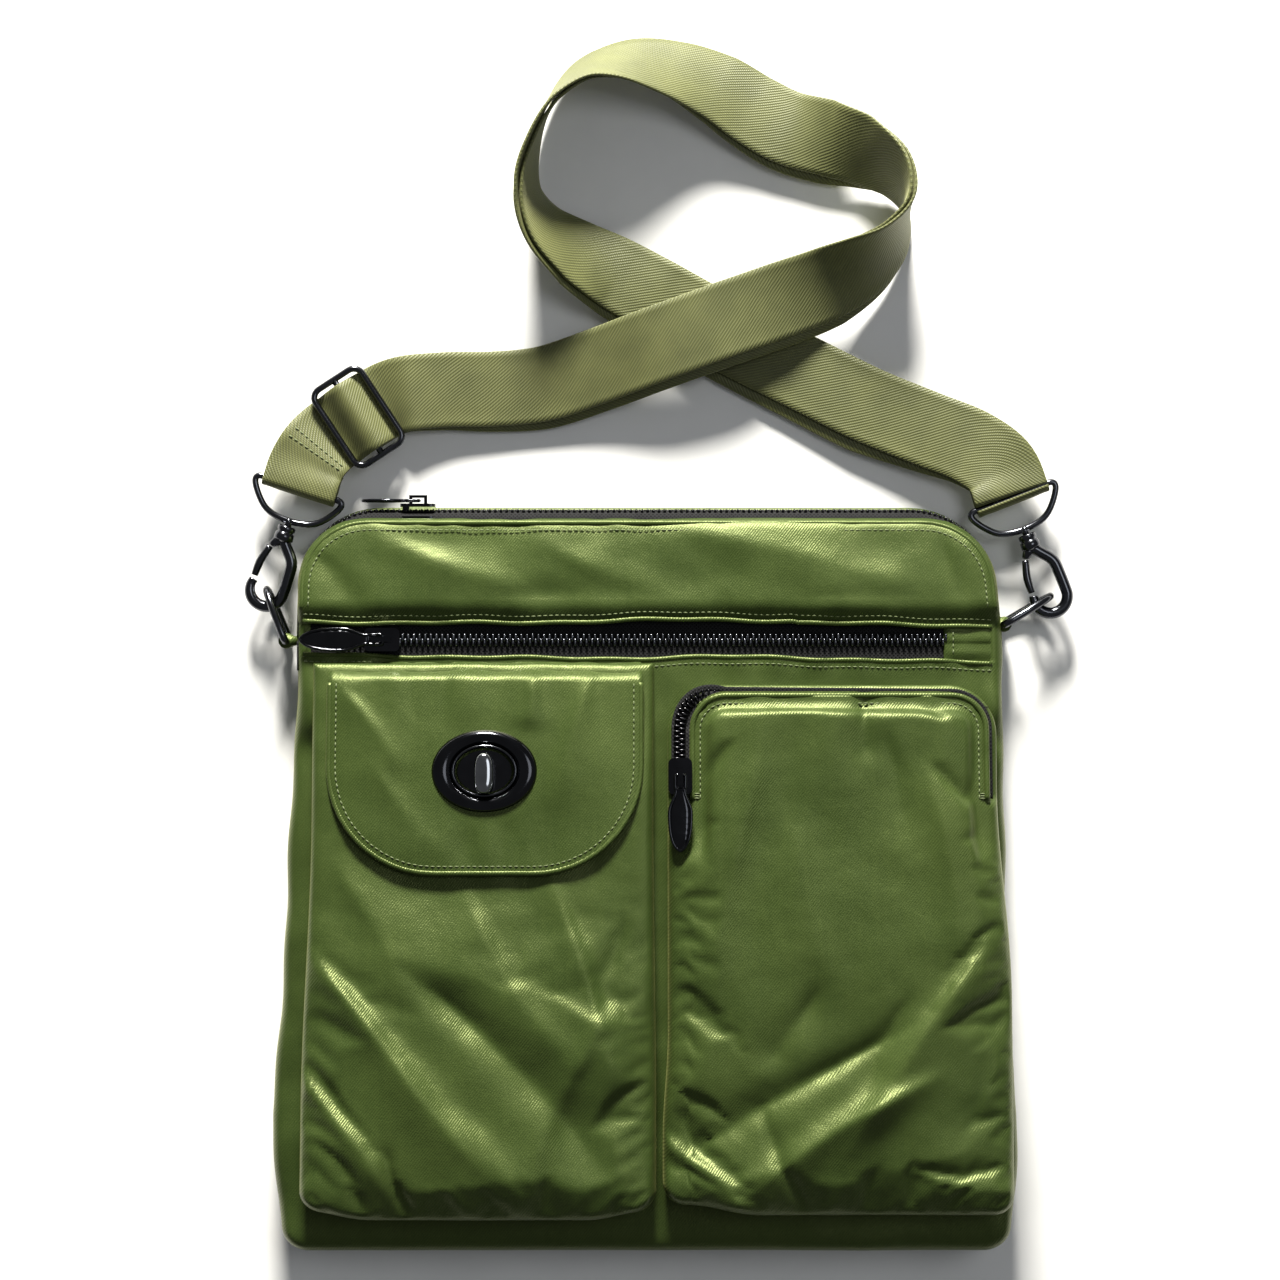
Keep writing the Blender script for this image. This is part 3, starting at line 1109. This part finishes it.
def right_pocket():
    """The panel with a rolled hem on three sides; the zip shows on its left and slips under the hem elsewhere."""
    low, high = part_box("right_pocket_front")
    top, corner = high[1], 13 * MM
    step_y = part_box("right_pocket_zip_tape_inner")[0][1]
    box = (low[0], high[0], low[1], top + 3.2 * MM)
    arch = dict(x0=low[0] + 8.4 * MM, x1=high[0] - 3.4 * MM, y0=step_y, top=top + 0.4 * MM, corner=corner)

    def inside(x, y):
        """Distance inside the hem's arch, below zero outside it."""
        x0, x1, limit = arch["x0"], arch["x1"], arch["top"]
        side = min(x - x0, x1 - x)
        if y < limit - corner:
            return side
        cx, cy = min(max(x, x0 + corner), x1 - corner), limit - corner
        return corner - math.hypot(x - cx, y - cy)

    def relief(x, y):
        sunk = ease((y - step_y + 2 * MM) / (3 * MM)) * ease(-inside(x, y) / (0.9 * MM))
        return right_relief(x, y) * (1 - 0.6 * sunk) - 3.0 * MM * sunk

    def outline(x, y):
        spread = 5.0 * MM * ease((34 * MM - y) / (80 * MM)) * ease((x - 72 * MM) / (50 * MM))
        spread -= 2.0 * MM * ease((-60 * MM - y) / (40 * MM)) * ease((30 * MM - x) / (20 * MM))
        lift = 4.0 * MM * ease((-104 * MM - y) / (20 * MM)) * ease((46 * MM - x) / (30 * MM))
        return x + spread, y + lift

    by_hem = lambda x, y: ease((y - step_y + 30 * MM) / (20 * MM)) * ease((9 * MM - inside(x, y)) / (5 * MM))
    walls = ("front", "left_wall", "right_wall", "base_wall", "zip_wall")
    pocket = pouch("right", box, RIGHT_FACE, relief, 1.6 * MM, walls,
                   top_radius=corner + 5 * MM, held=by_hem, outline=outline,
                   extra_rows=np.linspace(top - 1 * MM, top + 2 * MM, 8),
                   extra_columns=np.linspace(arch["x0"] - 1.5 * MM, arch["x0"] + 1 * MM, 7))

    surface = surface_of(pocket)
    hem_height = lambda x, y: RIGHT_FACE(y) + right_relief(x, y)
    hem("right_pocket_hem", arch_points(**arch), hem_height, width=1.15 * MM, lift=-0.1 * MM)
    seam("right_pocket_stitches", arch_points(**arch, inset=3.0 * MM), surface)
    bars = []
    for x in (arch["x0"], arch["x1"] - 3.2 * MM):
        for y in (step_y + 0.6 * MM, step_y + 1.5 * MM, step_y + 2.4 * MM):
            across = line_points((x, y), (x + 3.2 * MM, y), step=1 * MM)
            bars.append(stitch_mesh(on_surface(across, surface, 0.2 * MM), UP))
    mesh_object("right_pocket_bar_tacks", joined(*bars), THREAD)

    fine = arch_points(**arch, turns=20)

    def strip(gap_left, gap_elsewhere, drop, sink=1.5 * MM):
        """A line beside the hem: one gap on its left side, another along its top and right side."""
        out = []
        for x, y in fine:
            along = ease((x - arch["x0"]) / (1.3 * corner))
            gap = gap_left + (gap_elsewhere - gap_left) * along
            cx = min(max(x, arch["x0"] + corner), arch["x1"] - corner)
            away = unit(np.array([x - cx, max(0.0, y - arch["top"] + corner)]) + 1e-9)
            px, py = x + away[0] * gap, y + away[1] * gap
            out.append(np.array([px, py, RIGHT_FACE(py) - drop - sink * along]))
        return out

    teeth_line = strip(5.0 * MM, -3.4 * MM, 0.9 * MM, 4.2 * MM)
    for side, word in ((1, "outer"), (-1, "inner")):
        node = f"right_pocket_zip_teeth_{word}"
        teeth_row(f"right_zip_teeth_metal_{word}", teeth_line, lambda p: UP, -side, node, BLACK_TEETH, size=0.8)
    bands = (("inner", (-1.0, -1.0, 1.0), (4.9, 0.4, 1.6)), ("outer", (5.1, 0.3, 1.6), (8.2, 2.6, 1.3)))
    for word, near, far in bands:
        near, far = (strip(*(v * MM for v in gaps)) for gaps in (near, far))
        tape_band(f"right_zip_cloth_{word}", near, far, f"right_pocket_zip_tape_{word}")


# ---------------------------------------------------------------- metal fittings
def polish(node, material, bevel):
    """A CAD node that stays: rounded edges and its finish."""
    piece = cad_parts[node]
    piece.data.materials.clear()
    piece.data.materials.append(material)
    for polygon in piece.data.polygons:
        polygon.use_smooth = True
    edges = piece.modifiers.new("rounded_edges", "BEVEL")
    edges.width = bevel
    edges.segments = 3
    edges.limit_method = "ANGLE"
    edges.angle_limit = math.radians(35)
    edges.harden_normals = True


LOCK_UP, LOCK_ALONG = unit(np.array([0, -LEFT_FACE.slope, 1.0])), unit(np.array([0, 1.0, LEFT_FACE.slope]))


def lock_plate():
    """The oval ring of the turn-lock."""
    low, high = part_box("turn_lock_plate")
    up, side_y = LOCK_UP, LOCK_ALONG
    half = np.array([(high[0] - low[0]) / 2, (high[1] - low[1]) / 2 / side_y[1]])
    base = np.array([(low[0] + high[0]) / 2, LOCK_Y, LEFT_FACE(LOCK_Y)]) + up * 2.4 * MM
    profile = [(math.cos(a), math.sin(a)) for a in np.linspace(0, math.pi, 15)]
    vertices = []
    around = 96
    for i in range(around):
        a = 2 * math.pi * i / around
        inner = np.array([LOCK_HOLE[0] * math.cos(a), LOCK_HOLE[1] * math.sin(a)])
        outer = np.array([half[0] * math.cos(a), (half[1] - 0.2 * MM) * math.sin(a)])
        middle, reach = (inner + outer) / 2, (outer - inner) / 2
        for c, s in profile:
            flat = middle + reach * c
            vertices.append(base + np.array([flat[0], 0, 0]) + side_y * flat[1] + up * 3.4 * MM * s ** 0.8)
    on_flap = dict(body="flap", slot="black_metal")
    shape = vertices, ring_faces(around, len(profile), True)
    mesh_object("turn_lock_ring", shape, BLACK_METAL, replaces=["turn_lock_plate"], **on_flap)
    wide, long = LOCK_HOLE[0] - 0.5 * MM, LOCK_HOLE[1] - 0.5 * MM
    collar = [base + np.array([wide * math.cos(a), 0, 0]) + side_y * long * math.sin(a) + up * 1.2 * MM
              for a in np.linspace(0, 2 * math.pi, 73)[:-1]]
    shape = tube_mesh(collar, 0.75 * MM, closed=True, sides=12, normal=up, flatten=1.5)
    mesh_object("turn_lock_collar", shape, GUNMETAL, **on_flap)


def lock_knob():
    """The turn-lock's bar: a rounded pillow of polished metal on a neck, turned upright."""
    low, high = (np.array(c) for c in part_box("turn_lock_knob"))
    centre = np.array([LOCK_X, LOCK_Y, high[2]])
    wide, long = (high[0] - low[0]) / 2, (high[1] - low[1]) / 2
    neck = 1.3 * MM
    foot = (low[2] - high[2]) / MM
    # From the neck's foot to the top: shares of the half width and half length, and millimetres below the top.
    rings = [(neck / wide, neck / long, foot), (neck / wide, neck / long, -5.0), (0.55, 0.5, -4.6),
             (0.86, 0.92, -4.2), (0.98, 0.99, -3.3), (1.0, 1.0, -2.4), (0.97, 0.985, -1.4), (0.84, 0.93, -0.6),
             (0.6, 0.82, -0.15), (0.3, 0.62, 0.0), (0.04, 0.3, 0.02)]
    vertices = []
    for across, along, height in rings:
        for k in range(40):
            a = 2 * math.pi * k / 40
            c, q = math.cos(a), math.sin(a)
            square = 1.0 if height < -4.9 else 0.75
            x = math.copysign(abs(c) ** square, c) * wide * across
            y = math.copysign(abs(q) ** square, q) * long * along
            vertices.append(centre + np.array([x, 0, 0]) + LOCK_ALONG * y + LOCK_UP * (height * MM))
    shape = vertices, ring_faces(len(rings), 40, False)
    mesh_object("turn_lock_bar", shape, KNOB_METAL, body="knob", slot="black_metal", replaces=["turn_lock_knob"])


def clip(side, distance, outward):
    """A swivel eye, snap hook, gate and D-ring at one end of the strap."""
    eye, along, _, _ = ROAD.frame(distance)
    along = unit(np.array([along[0], along[1], 0.0])) * outward
    across = np.array([along[1], -along[0], 0.0])
    at = lambda x, y, z=0.0: eye + across * x * MM + along * y * MM + UP * z * MM
    half_bar = (WEBBING_WIDTH / 2 + BAR_RADIUS) / MM + 0.6
    loop = [at(-half_bar, 0), at(-half_bar / 2, 0), at(0, 0), at(half_bar / 2, 0), at(half_bar, 0), at(half_bar, 4),
            at(10, 11.5), at(0, 13.5), at(-10, 11.5), at(-half_bar, 4)]
    stem = [at(0, 12.6), at(0, 14), at(0, 17.4)]
    metal = lambda name, shape, body, node: mesh_object(
        f"{side}_{name}", shape, GUNMETAL, body=f"{side}_{body}", slot="gunmetal", replaces=[f"{side}_{node}"])
    eye_shape = joined(tube_mesh(smooth_path(loop, 6, closed=True), BAR_RADIUS, closed=True, normal=UP),
                       tube_mesh(stem, 1.5 * MM, normal=UP))
    metal("eye_wire", eye_shape, "eye", "swivel_eye")

    # The swivel's barrel: millimetres from the eye's bar, and its radius there.
    barrel = [(15.6, 2.4), (15.7, 3.2), (16.2, 3.6), (17.4, 3.6), (17.8, 3.2), (18.2, 3.2), (18.6, 3.8), (21, 4.0),
              (21.6, 3.5), (22.2, 2.6)]
    mouth, wire = 4.6, 2.1
    r = mouth + wire
    bow_angles = [math.pi - i * 1.12 * math.pi / 12 for i in range(13)]
    bow = [at(r * math.cos(a), 42 + r * math.sin(a)) for a in bow_angles]
    path = smooth_path([at(0, 21), at(-2.4, 24), at(-r + 0.6, 29), at(-r, 35)] + bow, 4)
    radii = [(2.3 - 0.5 * ease((i / len(path) - 0.7) / 0.3)) * MM for i in range(len(path))]
    ear = [(-0.5, 21, 2.2), (2.2, 22.6, 2.1), (3.55, 24.3, 1.55), (3.7, 24.7, 1.1)]
    hook_shape = joined(tube_mesh([at(0, y) for y, _ in barrel], [q * MM for _, q in barrel], sides=28, normal=UP),
                        tube_mesh(path, radii, sides=18, normal=UP),
                        tube_mesh([at(x, y) for x, y, _ in ear], [q * MM for _, _, q in ear], sides=18, normal=UP))
    metal("hook_metal", hook_shape, "hook", "snap_hook")

    gate = smooth_path([at(r - 0.3, 38.1), at(r - 0.45, 34.5), at(r - 0.9, 31), at(4.1, 25.2)], 5)
    thick = [(1.35 + 0.25 * math.sin(math.pi * i / (len(gate) - 1))) * MM for i in range(len(gate))]
    metal("gate_metal", tube_mesh(gate, thick, normal=UP), "gate", "hook_gate")

    apex = at(0, EYE_TO_RING / MM)
    low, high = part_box(f"{side}_ring_tab")
    bar_x = (low[0] + 3.2 * MM) if side == "left" else (high[0] - 3.2 * MM)
    bar_y = apex[1] - math.sqrt(RING_LENGTH ** 2 - (apex[0] - bar_x) ** 2)
    foot = np.array([bar_x, bar_y, eye[2]])
    out = unit(np.array([apex[0] - bar_x, apex[1] - bar_y, 0.0]))
    shape = [foot + out * RING_LENGTH * math.cos(a) + UP * RING_HALF * math.sin(a)
             for a in np.linspace(-math.pi / 2 + 0.05, math.pi / 2 - 0.05, 29)]
    shape += [foot + UP * RING_HALF * w for w in (0.93, 0.4, -0.4, -0.93)]
    metal("ring_wire", tube_mesh(shape, 1.5 * MM, closed=True, normal=np.cross(UP, out)), "ring", "d_ring")
    ring_tab(side, foot, low, high)


def ring_tab(side, foot, low, high):
    """Folded nylon round the D-ring's bar, sewn to the side of the body."""
    inward = 1.0 if side == "left" else -1.0
    profile = [(6.2, 1.2), (2.4, 1.9), (1.0, 2.7), (-0.6, 3.0), (-2.0, 2.4), (-2.9, 1.0), (-3.0, 0), (-2.9, -1.0),
               (-2.0, -2.4), (-0.6, -3.0), (1.0, -2.7), (2.4, -1.9), (6.2, -1.2)]
    vertices = []
    heights = np.linspace(low[2] - foot[2], high[2] - foot[2], 9)
    for z in heights:
        swell = 1.0 - 0.05 * math.cos(z / MM * 1.4)
        for a, b in profile:
            vertices.append(foot + np.array([inward * a, b * swell, z / MM]) * MM)
    shape = vertices, ring_faces(len(heights), len(profile), False)
    mesh_object(f"{side}_tab_cloth", shape, NYLON, replaces=[f"{side}_ring_tab"])


# ---------------------------------------------------------------- light and floor
def area_light(name, place, size, power, color):
    """A round soft light turned to the purse."""
    data = bpy.data.lights.new(name, "AREA")
    data.shape = "DISK"
    data.size = size
    data.energy = power
    data.color = color
    light = bpy.data.objects.new(name, data)
    light.location = place
    light.rotation_euler = (Vector((0, 0.05, 0)) - Vector(place)).to_track_quat("-Z", "Y").to_euler()
    bpy.context.scene.collection.objects.link(light)


def studio():
    """A pale floor, an even dim sky, a key light past the strap and a weak fill overhead."""
    mesh = bpy.data.meshes.new("floor")
    mesh.from_pydata([(-4, -4, 0), (4, -4, 0), (4, 4, 0), (-4, 4, 0)], [], [(0, 1, 2, 3)])
    m = Nodes("floor_paper")
    grain = m.noise(40, 3, m.place())
    m.set(Base_Color=m.ramp(grain, (0.3, (0.86, 0.86, 0.86)), (0.7, (0.9, 0.9, 0.9))), Roughness=0.9)
    mesh.materials.append(m.material)
    floor = bpy.data.objects.new("floor", mesh)
    bpy.context.scene.collection.objects.link(floor)

    world = bpy.data.worlds.new("studio")
    world.use_nodes = True
    sky = world.node_tree.nodes["Background"].inputs
    sky["Color"].default_value = (0.95, 0.97, 1.0, 1)
    sky["Strength"].default_value = 0.14
    bpy.context.scene.world = world
    area_light("key", (-0.10, 2.08, 0.80), 0.5, 206, (1.0, 0.97, 0.89))
    area_light("fill", (0.8, 0.5, 1.9), 0.9, 6, (0.95, 0.98, 1.0))
    bpy.context.scene.view_settings.view_transform = "Standard"


# ---------------------------------------------------------------- build
body()
front_zip()
top_zip()
left_pocket()
flap()
right_pocket()
lock_plate()
polish("turn_lock_base", BLACK_METAL, 0.5 * MM)
lock_knob()
for zip_name in ("front_zip", "top_zip", "right_pocket_zip"):
    polish(f"{zip_name}_slider", BLACK_METAL, 0.4 * MM)
zip_pull("front_zip", (-1, 0, 0), (0, -FRONT.slope, 1), 32, 4.8)
zip_pull("top_zip", (-1, 0, 0), (0, 1, 0), 22, 4.2)
zip_pull("right_pocket_zip", (0, -1, -RIGHT_FACE.slope), (0, -RIGHT_FACE.slope, 1), 29, 4.8)
polish("front_zip_pocket_lining", LINING, 0.1 * MM)
clip("left", 0.0, -1)
clip("right", ROAD.length, 1)
studio()
